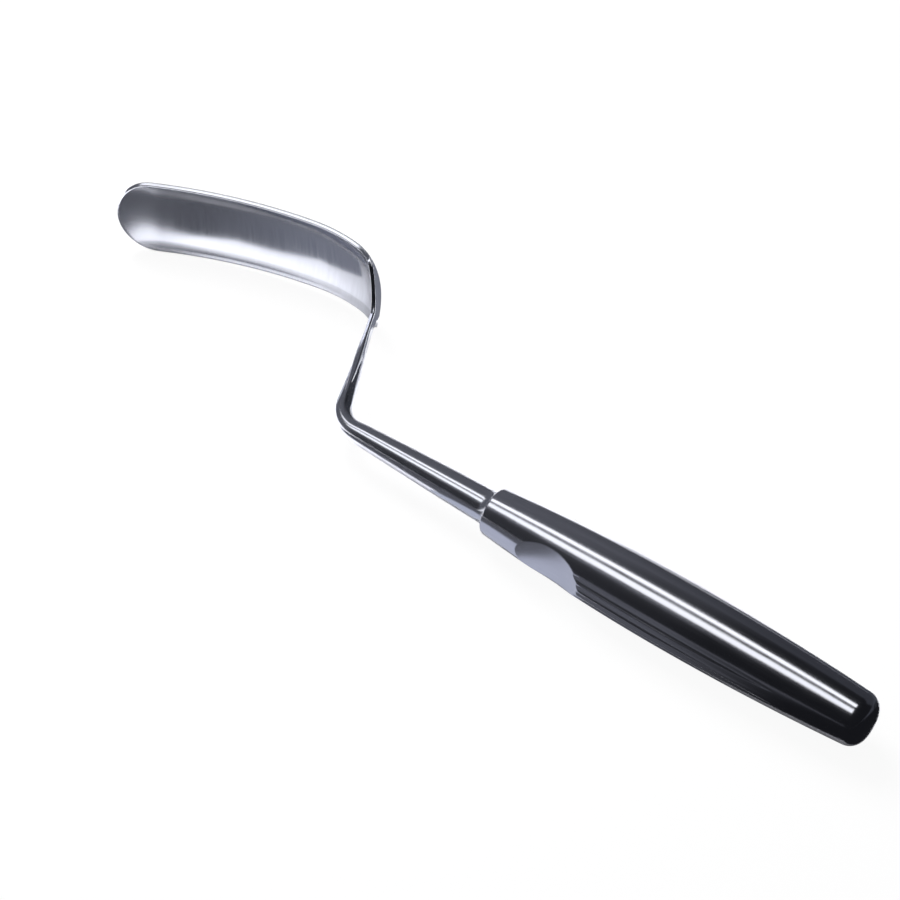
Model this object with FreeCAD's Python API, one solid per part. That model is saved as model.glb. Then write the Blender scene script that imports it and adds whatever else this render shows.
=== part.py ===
"""Handheld retractor: a spoon-like blade on a cranked neck and shank, set in a fluted steel grip.

All lengths are in millimetres. The instrument is drawn first in its own side profile: X runs
along the grip's axis from the grip's front face (0) to its butt, Y points to the side the neck
is cranked to, and Z is across the blade. It is then laid on its side, as it comes to rest on a
table, with the origin under the middle of its bounding box.
"""
import FreeCAD, Part
import math
import os

Vector = FreeCAD.Vector

# Grip: a barrel that swells to a belly and narrows to a rounded butt
grip_length = 124.5
grip_front_radius = 7.4
grip_belly_radius = 10.3
grip_belly_at = 60.0
grip_butt_radius = 7.65
grip_front_rounding = 1.1
grip_butt_rounding = 4.5
grip_butt_dome = 0.7

# Thumb scoop on both flat sides of the grip, cut across by a round cutter
scoop_start = 14.0
scoop_end = 37.0
scoop_depth = 3.0

# Flutes behind each scoop, run in by a ball-ended cutter on a shallow arc
flutes_per_side = 4
flute_pitch_angle = 14.5
flute_cutter_radius = 2.0
flute_front_depth = 0.58
flute_belly_depth = 0.46
flute_runout = 101.0

# Tang of the shank inside the grip, and the hollow behind it
tang_radius = 3.0
tang_length = 30.0
tang_clearance = 0.03
tang_end_gap = 0.5
grip_wall = 2.4
hollow_start = 44.0
hollow_neck_length = 8.0

# Shank: a round taper from the grip to the elbow
shank_length = 58.4
shank_root_radius = 5.25
shank_end_radius = 2.9
shank_swell = 0.22
shank_flare = 0.9
shank_flare_length = 3.0

# Elbow and neck: the rod turns to the side and is forged flat towards the blade
elbow_turn = 63.0
elbow_bend_radius = 11.0
neck_length = 45.0
neck_end_width = 4.6
neck_flattened_share = 0.8

# Heel, crook and blade: three arcs, each gentler than the last
heel_radius = 22.0
heel_turn = 55.0
crook_radius = 55.0
crook_length = 17.0
blade_radius = 185.0
blade_length = 69.0
blade_heel_width = 28.2
blade_tip_width = 29.1
blade_thickness = 1.5
trough_depth = 3.6
trough_run_in = 18.0
shoulder_lead = 0.0
shoulder_length = 13.0
tip_length = 12.6

# How it comes to rest on its side: on the grip's belly and the blade's lower edge near the tip
resting_roll = 5.6
resting_pitch = 0.2

# Sections drawn along each stretch of the forging
shank_sections = 12
elbow_sections = 6
neck_sections = 9
heel_sections = 9
crook_sections = 3
blade_sections = 4
tip_sections = 7
tip_cut_share = 0.995


def barrel_radius(x):
    """Radius of the plain barrel at a distance behind the grip's front face."""
    if x < grip_belly_at:
        share = (grip_belly_at - x) / grip_belly_at
        return grip_belly_radius - (grip_belly_radius - grip_front_radius) * share ** 2
    share = (x - grip_belly_at) / (grip_length - grip_belly_at)
    return grip_belly_radius - (grip_belly_radius - grip_butt_radius) * share ** 2


def parabola(start_x, start_radius, end_x, end_radius, level_x):
    """Edge of one half of the barrel, level where it meets the belly."""
    middle = Vector((start_x + end_x) / 2, 0, barrel_radius(level_x))
    curve = Part.BezierCurve()
    curve.setPoles([Vector(start_x, 0, start_radius), middle, Vector(end_x, 0, end_radius)])
    return curve.toShape()


def make_barrel():
    """The grip's outer form, turned about its axis."""
    front = Part.LineSegment(Vector(0, 0, 0), Vector(0, 0, grip_front_radius)).toShape()
    fore = parabola(0, grip_front_radius, grip_belly_at, grip_belly_radius, grip_belly_at)
    aft = parabola(grip_belly_at, grip_belly_radius, grip_length, grip_butt_radius, grip_belly_at)
    crown = Vector(grip_length + grip_butt_dome, 0, 0)
    dome_radius = (grip_butt_radius ** 2 + grip_butt_dome ** 2) / (2 * grip_butt_dome)
    half_angle = math.asin(grip_butt_radius / dome_radius) / 2
    on_dome = Vector(
        crown.x - dome_radius * (1 - math.cos(half_angle)), 0, dome_radius * math.sin(half_angle)
    )
    dome = Part.Arc(Vector(grip_length, 0, grip_butt_radius), on_dome, crown).toShape()
    axis = Part.LineSegment(crown, Vector(0, 0, 0)).toShape()
    outline = Part.Face(Part.Wire([front, fore, aft, dome, axis]))
    barrel = outline.revolve(Vector(0, 0, 0), Vector(1, 0, 0), 360)
    barrel = round_ring(barrel, 0, grip_front_radius, grip_front_rounding)
    return round_ring(barrel, grip_length, grip_butt_radius, grip_butt_rounding)


def round_ring(solid, x, radius, rounding):
    """Round the edge that runs round the axis at one place and radius."""
    ring = []
    for edge in solid.Edges:
        box = edge.BoundBox
        if box.XLength < 0.01 and abs(box.XMin - x) < 0.01 and abs(box.ZMax - radius) < 0.01:
            ring.append(edge)
    return solid.makeFillet(rounding, ring)


def scoop_cutter(side):
    """Round cutter lying across the grip, whose chord spans the scoop on the barrel's surface."""
    start = Vector(scoop_start, barrel_radius(scoop_start), 0)
    end = Vector(scoop_end, barrel_radius(scoop_end), 0)
    chord = end - start
    middle = (start + end) * 0.5
    sag = scoop_depth - (barrel_radius(middle.x) - middle.y)
    radius = ((chord.Length / 2) ** 2 + sag ** 2) / (2 * sag)
    outward = Vector(-chord.y, chord.x, 0).normalize()
    centre = middle + outward * (radius - sag)
    reach = grip_belly_radius * 2
    return Part.makeCylinder(radius, 2 * reach, Vector(centre.x, side * centre.y, -reach), Vector(0, 0, 1))


def flute_bottom_arc():
    """Centre and radius of the arc that the flutes' bottoms follow, as seen from the side."""
    start = Vector(scoop_end, barrel_radius(scoop_end) - flute_front_depth, 0)
    middle_x = (scoop_end + flute_runout) / 2
    middle = Vector(middle_x, barrel_radius(middle_x) - flute_belly_depth, 0)
    end = Vector(flute_runout, barrel_radius(flute_runout), 0)
    arc = Part.Arc(start, middle, end).toShape().Curve
    return arc.Center, arc.Radius


def flute_cutter(side, angle):
    """A ball-ended cutter's path: a round section swung about the arc's centre."""
    centre, radius = flute_bottom_arc()
    along = Vector(0, side, 0)
    first_x = scoop_start + (scoop_end - scoop_start) / 2
    last_x = flute_runout + 2 * flute_cutter_radius
    bottom = centre.y + math.sqrt(radius ** 2 - (first_x - centre.x) ** 2)
    reach = math.hypot(first_x - centre.x, bottom - centre.y) + flute_cutter_radius
    swing = math.asin((last_x - centre.x) / reach) - math.asin((first_x - centre.x) / reach)
    first_angle = math.asin((first_x - centre.x) / reach)
    middle = Vector(
        centre.x + reach * math.sin(first_angle), side * (centre.y + reach * math.cos(first_angle)), 0
    )
    heading = Vector(math.cos(first_angle), -side * math.sin(first_angle), 0)
    circle = Part.Wire([Part.Circle(middle, heading, flute_cutter_radius).toShape()])
    cutter = Part.Face(circle).revolve(
        Vector(centre.x, side * centre.y, 0), Vector(0, 0, -side), math.degrees(swing)
    )
    cutter.rotate(Vector(0, 0, 0), Vector(1, 0, 0), angle)
    return cutter


def make_hollow():
    """Bore for the tang, opening into the chamber that makes the grip light."""
    bore = Part.makeCylinder(
        tang_radius + tang_clearance, tang_length + tang_end_gap, Vector(0, 0, 0), Vector(1, 0, 0)
    )
    chamber_radius = barrel_radius(scoop_end) - flute_front_depth - grip_wall
    chamber_end = grip_length - grip_butt_rounding - grip_wall
    end_radius = barrel_radius(chamber_end) - grip_wall
    points = [
        Vector(hollow_start, 0, 0),
        Vector(hollow_start, 0, tang_radius),
        Vector(hollow_start + hollow_neck_length, 0, chamber_radius),
        Vector(flute_runout, 0, chamber_radius),
        Vector(chamber_end, 0, end_radius),
        Vector(chamber_end, 0, 0),
    ]
    outline = Part.Face(Part.makePolygon(points + points[:1]))
    chamber = outline.revolve(Vector(0, 0, 0), Vector(1, 0, 0), 360)
    return bore, chamber


def make_grip():
    """The fluted grip: barrel, scoops, flutes, and the bore for the tang."""
    grip = make_barrel()
    cutters = []
    for side in (-1, 1):
        cutters.append(scoop_cutter(side))
        for index in range(flutes_per_side):
            angle = (index - (flutes_per_side - 1) / 2) * flute_pitch_angle
            cutters.append(flute_cutter(side, angle))
    bore, chamber = make_hollow()
    for cutter in cutters + [bore, chamber]:
        grip = grip.cut(cutter)
    return grip


def smooth_step(value):
    """Rise from 0 to 1 with no kink at either end."""
    value = min(max(value, 0.0), 1.0)
    return value * value * (3 - 2 * value)


def eased(value):
    """Share of a stretch for evenly counted stations that crowd towards both its ends."""
    return (1 - math.cos(math.pi * value)) / 2


def section_parameters():
    """Places round a section, close together at its two narrow ends."""
    half = [0.0, 0.011, 0.022, 0.06, 0.12, 0.18, 0.25]
    quarter = [0.5 - value for value in reversed(half[:-1])]
    upper = half + quarter
    return upper + [0.5 + value for value in upper[1:-1]]


def stadium_point(share, width, thickness):
    """Point at a share of the way round a flat bar with fully rounded edges."""
    radius = thickness / 2
    flat = width - thickness
    perimeter = 2 * flat + 2 * math.pi * radius
    travel = share * perimeter
    quarter_arc = math.pi * radius / 2
    if travel <= quarter_arc:
        angle = travel / radius
        return flat / 2 + radius * math.cos(angle), radius * math.sin(angle)
    if travel <= quarter_arc + flat:
        return flat / 2 - (travel - quarter_arc), radius
    if travel <= 3 * quarter_arc + flat:
        angle = math.pi / 2 + (travel - quarter_arc - flat) / radius
        return -flat / 2 + radius * math.cos(angle), radius * math.sin(angle)
    if travel <= 3 * quarter_arc + 2 * flat:
        return -flat / 2 + (travel - 3 * quarter_arc - flat), -radius
    angle = 1.5 * math.pi + (travel - 3 * quarter_arc - 2 * flat) / radius
    return flat / 2 + radius * math.cos(angle), radius * math.sin(angle)


def section_curve(station):
    """Closed section of the forging: round rod, flat bar or trough, by its station's values."""
    points = []
    places = section_parameters()
    for share in places:
        flat_z, flat_n = stadium_point(share, station["width"], station["thickness"])
        angle = 2 * math.pi * share
        round_z = station["width"] / 2 * math.cos(angle)
        round_n = station["thickness"] / 2 * math.sin(angle)
        z = flat_z * station["flatness"] + round_z * (1 - station["flatness"])
        n = flat_n * station["flatness"] + round_n * (1 - station["flatness"])
        n += station["trough"] * (station["width"] ** 2 - (2 * z) ** 2) / blade_tip_width ** 2
        points.append(station["place"] + station["outward"] * n + Vector(0, 0, z))
    curve = Part.BSplineCurve()
    curve.interpolate(Points=points, PeriodicFlag=True, Parameters=places + [1.0])
    return curve


def skin(stations):
    """Smooth solid through closed sections that all share their parameters."""
    sections = [section_curve(item) for item in stations]
    rows = [curve.getPoles() for curve in sections]
    runs = [item["run"] for item in stations]
    lengthwise = []
    for column in zip(*rows):
        curve = Part.BSplineCurve()
        curve.interpolate(Points=list(column), Parameters=runs)
        lengthwise.append(curve)
    surface = Part.BSplineSurface()
    surface.buildFromPolesMultsKnots(
        list(zip(*[curve.getPoles() for curve in lengthwise])),
        lengthwise[0].getMultiplicities(),
        sections[0].getMultiplicities(),
        lengthwise[0].getKnots(),
        sections[0].getKnots(),
        False,
        True,
        lengthwise[0].Degree,
        sections[0].Degree,
    )
    faces = [surface.toShape()]
    for run in (runs[0], runs[-1]):
        faces.append(Part.Face(Part.Wire([surface.uIso(run).toShape()])))
    shell = Part.Shell(faces)
    shell.sewShape()
    solid = Part.Solid(shell)
    if solid.Volume < 0:
        solid.reverse()
    return solid


def station(run, place, heading, width, thickness, flatness=0.0, trough=0.0):
    """One station of the forging; heading is the way towards the tip, in degrees from X."""
    outward = Vector(math.sin(math.radians(heading)), -math.cos(math.radians(heading)), 0)
    return {
        "run": run,
        "place": place,
        "outward": outward,
        "width": width,
        "thickness": thickness,
        "flatness": flatness,
        "trough": trough,
    }


def shank_radius(x):
    """Radius of the round shank, with its slight swell and the flare at the grip."""
    share = -x / shank_length
    radius = shank_root_radius + (shank_end_radius - shank_root_radius) * share
    radius += shank_swell * 4 * share * (1 - share)
    flare = max(1 + x / shank_flare_length, 0)
    return radius + shank_flare * flare ** 2


def step_along(place, heading, length, radius=None):
    """Move along a straight run, or along an arc that turns to the left."""
    if radius is None:
        turn = 0.0
        chord = length
    else:
        turn = math.degrees(length / radius)
        chord = 2 * radius * math.sin(length / radius / 2)
    middle = math.radians(heading + turn / 2)
    return place + Vector(math.cos(middle), math.sin(middle), 0) * chord, heading + turn


def shank_stations():
    """Round sections from the grip's face to the start of the elbow."""
    setback = elbow_bend_radius * math.tan(math.radians(elbow_turn / 2))
    straight = shank_length - setback
    stations = []
    for index in range(shank_sections + 1):
        distance = straight * eased(index / shank_sections)
        size = 2 * shank_radius(-distance)
        stations.append(station(distance, Vector(-distance, 0, 0), 180.0, size, size))
    return stations, Vector(-straight, 0, 0), setback


def neck_size(run, straight):
    """Width, thickness and flatness of the neck at a distance past the elbow."""
    flattened = min(run / (straight * neck_flattened_share), 1.0)
    start = 2 * shank_end_radius
    thickness = start + (blade_thickness - start) * flattened
    width = start + (neck_end_width - start) * smooth_step(run / straight)
    width += blade_width(run - straight) - neck_end_width
    return width, thickness, smooth_step(flattened)


def blade_width(run):
    """Width of the heel, crook and blade at a distance past the end of the neck."""
    total = math.radians(heel_turn) * heel_radius + crook_length + blade_length
    shoulder = smooth_step((run + shoulder_lead) / shoulder_length)
    full_width = blade_heel_width + (blade_tip_width - blade_heel_width) * max(0.0, run) / total
    width = neck_end_width + (full_width - neck_end_width) * shoulder
    to_tip = max(0.0, run - (total - tip_length)) / tip_length
    width = blade_thickness + (width - blade_thickness) * math.sqrt(max(0.0, 1 - to_tip ** 2))
    return width


def forging_stations():
    """Every station of the forging, from the grip's face to the tip."""
    stations, place, setback = shank_stations()
    passed = stations[-1]["run"]
    heading = 180.0
    elbow_length = math.radians(elbow_turn) * elbow_bend_radius
    size = 2 * shank_end_radius
    for index in range(elbow_sections):
        share = (index + 1) / elbow_sections
        arc = -elbow_bend_radius
        at, towards = step_along(place, heading, elbow_length * share, arc)
        stations.append(station(passed + elbow_length * share, at, towards, size, size))
    place, heading = step_along(place, heading, elbow_length, -elbow_bend_radius)
    passed += elbow_length
    straight = neck_length - setback
    for index in range(neck_sections):
        run = straight * eased((index + 1) / neck_sections)
        at, towards = step_along(place, heading, run)
        width, thickness, flatness = neck_size(run, straight)
        stations.append(station(passed + run, at, towards, width, thickness, flatness))
    place, heading = step_along(place, heading, straight)
    passed += straight
    heel_length = math.radians(heel_turn) * heel_radius
    plain_blade = blade_length - tip_length
    stretches = [
        (heel_radius, heel_length, [(i + 1) / heel_sections for i in range(heel_sections)]),
        (crook_radius, crook_length, [(i + 1) / crook_sections for i in range(crook_sections)]),
        (blade_radius, blade_length, tip_shares(plain_blade)),
    ]
    heel_start = passed
    for radius, length, shares in stretches:
        for share in shares:
            at, towards = step_along(place, heading, length * share, radius)
            run = passed + length * share
            width = blade_width(run - heel_start)
            trough = trough_depth * smooth_step((run - heel_start) / trough_run_in)
            stations.append(station(run, at, towards, width, blade_thickness, 1.0, trough))
        place, heading = step_along(place, heading, length, radius)
        passed += length
    return stations


def tip_shares(plain_blade):
    """Shares of the blade's length: even along it, then closing in on the tip."""
    shares = []
    for index in range(blade_sections):
        shares.append(plain_blade * (index + 1) / blade_sections / blade_length)
    for index in range(tip_sections):
        angle = math.pi / 2 * (index + 1) / tip_sections
        reach = min(math.sin(angle), tip_cut_share)
        shares.append((plain_blade + tip_length * reach) / blade_length)
    return shares


def make_forging():
    """Blade, neck, shank and tang, forged in one piece."""
    body = skin(forging_stations())
    tang = Part.makeCylinder(tang_radius, tang_length, Vector(0, 0, 0), Vector(1, 0, 0))
    return body.fuse(tang)


def lay_down(shapes):
    """Lay the instrument on its side, with the origin under the middle of its box."""
    for shape in shapes.values():
        shape.rotate(Vector(0, 0, 0), Vector(1, 0, 0), resting_roll)
        shape.rotate(Vector(0, 0, 0), Vector(0, 1, 0), resting_pitch)
    box = FreeCAD.BoundBox()
    for shape in shapes.values():
        box.add(shape.optimalBoundingBox(False))
    middle = Vector(-(box.XMin + box.XMax) / 2, -(box.YMin + box.YMax) / 2, -box.ZMin)
    for shape in shapes.values():
        shape.translate(middle)
    return middle


def main():
    """Build both pieces and write one STEP file for each."""
    shapes = {"fluted_grip": make_grip(), "blade_and_shank": make_forging()}
    lay_down(shapes)
    os.makedirs("parts", exist_ok=True)
    for name, shape in shapes.items():
        shape.exportStep("parts/" + name + ".step")
        print(name, "valid", shape.isValid(), "solids", len(shape.Solids), "volume", round(shape.Volume, 1))


if __name__ == "__main__":
    main()
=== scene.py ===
"""A handheld surgical retractor, dressed for a studio photograph.

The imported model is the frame: a fluted grip, and a forging that is blade, neck and shank in one.
Both nodes are replaced here by finer meshes of the same sizes, so that polished steel reflects
without facets. Sizes are in millimetres in the instrument's own side profile, where X runs from
the grip's front face to its butt, Y to the side the neck is cranked to and Z across the blade.
"""
from __future__ import annotations

import logging
import math
from dataclasses import dataclass, field
from enum import Enum
from typing import Union

import bmesh
import bpy
import numpy as np
from mathutils import Matrix, Vector


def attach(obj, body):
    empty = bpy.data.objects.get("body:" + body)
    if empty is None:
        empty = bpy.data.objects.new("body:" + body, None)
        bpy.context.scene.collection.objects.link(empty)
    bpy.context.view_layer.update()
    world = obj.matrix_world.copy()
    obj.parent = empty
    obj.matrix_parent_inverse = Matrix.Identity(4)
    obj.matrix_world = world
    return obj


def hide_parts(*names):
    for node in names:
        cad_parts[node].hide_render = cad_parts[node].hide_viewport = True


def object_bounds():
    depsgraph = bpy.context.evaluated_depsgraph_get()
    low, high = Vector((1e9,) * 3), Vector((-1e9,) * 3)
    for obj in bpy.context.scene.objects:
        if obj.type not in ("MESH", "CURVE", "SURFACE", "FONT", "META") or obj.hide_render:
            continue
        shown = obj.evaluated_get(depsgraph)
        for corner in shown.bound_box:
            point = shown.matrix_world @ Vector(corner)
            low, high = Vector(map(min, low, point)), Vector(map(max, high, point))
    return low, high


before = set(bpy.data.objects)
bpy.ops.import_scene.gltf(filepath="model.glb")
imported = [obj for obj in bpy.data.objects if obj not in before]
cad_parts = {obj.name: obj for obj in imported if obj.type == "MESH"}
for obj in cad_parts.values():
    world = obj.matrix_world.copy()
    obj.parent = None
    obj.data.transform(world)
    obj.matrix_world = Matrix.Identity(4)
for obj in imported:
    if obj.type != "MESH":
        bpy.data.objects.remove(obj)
cad_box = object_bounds()

MM = 0.001
IMAGE_WIDTH = 900
LOG = logging.getLogger("retractor")

# Vertices closer than this are one, in millimetres, and edges sharper than this stay sharp
WELD_DISTANCE = 0.0005
SHARP_ANGLE = math.radians(50)

# What a noise gives on average, and rounds of closing in on a place that no formula gives
NOISE_MIDDLE = 0.5
TRIALS = 40

# Where the room's glow starts and ends changing along the instrument, in metres
ROOM_FADE = (-0.5, -2.0)

Operand = Union["Value", float, int]


class Value:
    """A node's output socket that can be written as arithmetic."""

    def __init__(self, graph: "Graph", socket: bpy.types.NodeSocket) -> None:
        """Keep the graph that new nodes go to, and the socket itself."""
        self.graph = graph
        self.socket = socket

    def __add__(self, other: Operand) -> "Value":
        """Sum."""
        return self.graph.math("ADD", self, other)

    def __sub__(self, other: Operand) -> "Value":
        """Difference."""
        return self.graph.math("SUBTRACT", self, other)

    def __mul__(self, other: Operand) -> "Value":
        """Product."""
        return self.graph.math("MULTIPLY", self, other)

    def __truediv__(self, other: Operand) -> "Value":
        """Quotient."""
        return self.graph.math("DIVIDE", self, other)

    def __rsub__(self, other: Operand) -> "Value":
        """Difference with a plain number on the left."""
        return self.graph.math("SUBTRACT", other, self)

    def __rtruediv__(self, other: Operand) -> "Value":
        """Quotient with a plain number on the left."""
        return self.graph.math("DIVIDE", other, self)

    def __lt__(self, other: Operand) -> "Value":
        """1 where this is less, otherwise 0."""
        return self.graph.math("LESS_THAN", self, other)

    __radd__ = __add__
    __rmul__ = __mul__


class Graph:
    """A node tree under construction, for a material, the world or a Geometry Nodes modifier."""

    def __init__(self, tree: bpy.types.NodeTree) -> None:
        """Start from an empty tree."""
        self.tree = tree
        self.tree.nodes.clear()

    def add(self, kind: str, settings: dict | None = None, inputs: dict | None = None) -> bpy.types.Node:
        """Add a node.

        Args:
            kind: The node's type name.
            settings: Properties of the node, set before its sockets.
            inputs: Socket name or index to a Value, a socket or a plain value.

        Returns:
            The new node.
        """
        node = self.tree.nodes.new(kind)
        for name, value in (settings or {}).items():
            setattr(node, name, value)
        for key, value in (inputs or {}).items():
            socket = node.inputs[key]
            if isinstance(value, Value):
                self.tree.links.new(value.socket, socket)
            elif isinstance(value, bpy.types.NodeSocket):
                self.tree.links.new(value, socket)
            else:
                socket.default_value = value
        return node

    def value(self, node: bpy.types.Node, output: str | int = 0) -> Value:
        """Wrap one of a node's outputs."""
        return Value(self, node.outputs[output])

    def math(self, operation: str, *operands: Operand) -> Value:
        """Add a Math node on up to three operands."""
        inputs = dict(enumerate(operands))
        return self.value(self.add("ShaderNodeMath", {"operation": operation}, inputs))

    def least(self, first: Operand, second: Operand) -> Value:
        """The smaller of two."""
        return self.math("MINIMUM", first, second)

    def most(self, first: Operand, second: Operand) -> Value:
        """The larger of two."""
        return self.math("MAXIMUM", first, second)

    def root(self, operand: Value) -> Value:
        """Square root, with nothing below 0."""
        return self.math("SQRT", self.most(operand, 0.0))

    def within(self, operand: Value, low: float, high: float) -> Value:
        """Held between two limits."""
        return self.least(self.most(operand, low), high)

    def smooth(self, operand: Value, low: float, high: float) -> Value:
        """Rise from 0 at one level to 1 at another with no kink.

        Args:
            operand: What is measured.
            low: The level that gives 0.
            high: The level that gives 1, which may be the lower of the two.

        Returns:
            The rise.
        """
        settings = {"interpolation_type": "SMOOTHSTEP"}
        inputs = {"Value": operand, "From Min": low, "From Max": high}
        return self.value(self.add("ShaderNodeMapRange", settings, inputs))


def light_path(graph: Graph) -> tuple[Value, Value, Value]:
    """Masks of the rays from the camera, from mirroring surfaces and through clear ones."""
    path = graph.add("ShaderNodeLightPath")
    return tuple(graph.value(path, f"Is {kind} Ray") for kind in ("Camera", "Glossy", "Transmission"))


def new_material(name: str) -> tuple[bpy.types.Material, Graph]:
    """Start a material.

    Args:
        name: The material's name.

    Returns:
        The material, and the empty graph of its nodes.
    """
    material = bpy.data.materials.new(name)
    material.use_nodes = True
    return material, Graph(material.node_tree)


def put_in_scene(name: str, data: bpy.types.ID) -> bpy.types.Object:
    """Make an object.

    Args:
        name: The object's name.
        data: Its mesh, lamp or camera.

    Returns:
        The object, linked to the scene.
    """
    thing = bpy.data.objects.new(name, data)
    bpy.context.scene.collection.objects.link(thing)
    return thing


class Grain(Enum):
    """Which way a surface was polished, with the marks to a metre that it left along each axis."""

    LENGTHWISE = (45.0, 2600.0, 2600.0)
    CROSSWISE = (1500.0, 700.0, 45.0)


@dataclass(frozen=True)
class SteelFinish:
    """A stainless finish: its colour, its gloss and the marks of the polishing belt.

    The mesh says where it differs: its attribute "cut" is 1 where a cutter or a grinder went last,
    and "rod" is 1 where the forging is round. Marks are what the belt left, with their height in
    millimetres, and clouds are the soft patches between them, with their scale to a metre.
    """

    name: str
    colour: tuple[float, float, float]
    roughness: float
    cut_roughness: float
    cut_tone: float
    grain: Grain
    grain_depth: float
    rod_roughness: float = 0.2
    mark_share: float = 0.5
    mark_tone: float = 0.22
    mark_height: float = 0.02
    mark_detail: float = 3.0
    cloud: float = 0.05
    cloud_tone: float = 0.1
    cloud_scale: float = 70.0
    cloud_detail: float = 2.0
    cut_smoothing: float = 0.8
    roughness_limits: tuple[float, float] = (0.03, 0.6)

    def belt_marks(self, graph: Graph, place: Value, grain: Grain) -> Value:
        """Noise drawn out along the way the belt ran.

        Args:
            graph: Where the nodes go.
            place: Object coordinates, in metres.
            grain: Which way the belt ran.

        Returns:
            The marks, from 0 to 1.
        """
        stretched = graph.add("ShaderNodeMapping", {}, {"Vector": place, "Scale": grain.value})
        inputs = {"Vector": stretched.outputs[0], "Scale": 1.0, "Detail": self.mark_detail}
        return graph.value(graph.add("ShaderNodeTexNoise", {}, inputs))

    def material(self) -> bpy.types.Material:
        """Build the finish.

        Returns:
            The material, with grain in its roughness and its bump.
        """
        material, graph = new_material(self.name)
        place = graph.value(graph.add("ShaderNodeTexCoord"), "Object")
        rod = graph.value(graph.add("ShaderNodeAttribute", {"attribute_name": "rod"}), "Fac")
        marks = self.belt_marks(graph, place, self.grain)
        marks = marks + (self.belt_marks(graph, place, Grain.LENGTHWISE) - marks) * rod
        inputs = {"Vector": place, "Scale": self.cloud_scale, "Detail": self.cloud_detail}
        clouds = graph.value(graph.add("ShaderNodeTexNoise", {}, inputs))
        cut = graph.value(graph.add("ShaderNodeAttribute", {"attribute_name": "cut"}), "Fac")
        off_marks = marks - NOISE_MIDDLE
        off_clouds = clouds - NOISE_MIDDLE
        plain = self.roughness + off_marks * (self.roughness * self.mark_share) + off_clouds * self.cloud
        roughness = plain + cut * (self.cut_roughness - self.roughness)
        roughness = roughness + rod * (self.rod_roughness - self.roughness)
        tone = 1.0 + off_clouds * self.cloud_tone + off_marks * self.mark_tone - cut * (1.0 - self.cut_tone)
        height = marks * (1.0 - cut * self.cut_smoothing)
        colour = graph.add(
            "ShaderNodeVectorMath", {"operation": "SCALE"}, {0: self.colour, "Scale": tone}
        )
        inputs = {"Strength": self.grain_depth, "Distance": self.mark_height * MM, "Height": height}
        bump = graph.add("ShaderNodeBump", {}, inputs)
        steel = graph.add(
            "ShaderNodeBsdfPrincipled",
            {},
            {
                "Base Color": colour.outputs[0],
                "Metallic": 1.0,
                "Roughness": graph.within(roughness, *self.roughness_limits),
                "Normal": bump.outputs[0],
            },
        )
        graph.add("ShaderNodeOutputMaterial", {}, {"Surface": steel.outputs[0]})
        return material


GRIP_STEEL = SteelFinish("grip_steel", (0.65, 0.66, 0.725), 0.17, 0.24, 1.0, Grain.LENGTHWISE, 0.25)
BLADE_STEEL = SteelFinish("blade_steel", (0.67, 0.685, 0.75), 0.115, 0.15, 0.82, Grain.CROSSWISE, 0.18)


@dataclass(frozen=True)
class Laying:
    """How the instrument lies on its side: turned from its profile into the frame of the CAD."""

    roll: float = 5.6
    pitch: float = 0.2

    def turn(self) -> Matrix:
        """Turn from the profile to the frame."""
        about_axis = Matrix.Rotation(math.radians(self.roll), 3, "X")
        return Matrix.Rotation(math.radians(self.pitch), 3, "Y") @ about_axis


def smooth_step(value: float) -> float:
    """Rise from 0 to 1 with no kink at either end."""
    value = min(max(value, 0.0), 1.0)
    return value * value * (3.0 - 2.0 * value)


def new_object(name: str, vertices: list, faces: list) -> bpy.types.Object:
    """Make a smooth mesh object.

    Args:
        name: The object's name.
        vertices: Places in millimetres.
        faces: Loops of vertex numbers.

    Returns:
        The object, linked to the scene.
    """
    mesh = bpy.data.meshes.new(name)
    mesh.from_pydata(vertices, [], faces)
    shell = bmesh.new()
    shell.from_mesh(mesh)
    bmesh.ops.remove_doubles(shell, verts=shell.verts, dist=WELD_DISTANCE)
    bmesh.ops.recalc_face_normals(shell, faces=shell.faces)
    shell.to_mesh(mesh)
    shell.free()
    mesh.shade_smooth()
    return put_in_scene(name, mesh)


def tube_faces(rings: int, columns: int) -> list[tuple[int, int, int, int]]:
    """Join rings of vertices, which follow each other in one list, into a tube.

    Args:
        rings: How many rings there are.
        columns: How many vertices each has.

    Returns:
        The faces, ring by ring.
    """
    faces = []
    for ring in range(rings - 1):
        for column in range(columns):
            beside = (column + 1) % columns
            faces.append((
                ring * columns + column,
                ring * columns + beside,
                (ring + 1) * columns + beside,
                (ring + 1) * columns + column,
            ))
    return faces


def arc_points(
    centre: tuple[float, float], radius: float, start: float, end: float, steps: int
) -> list[tuple[float, float]]:
    """Points along an arc.

    Args:
        centre: Its middle.
        radius: Its radius.
        start: The angle it starts at, in radians.
        end: The angle it ends at.
        steps: How many steps it is walked in.

    Returns:
        The points, with both ends.
    """
    points = []
    for index in range(steps + 1):
        angle = start + (end - start) * index / steps
        points.append((centre[0] + radius * math.cos(angle), centre[1] + radius * math.sin(angle)))
    return points


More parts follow.
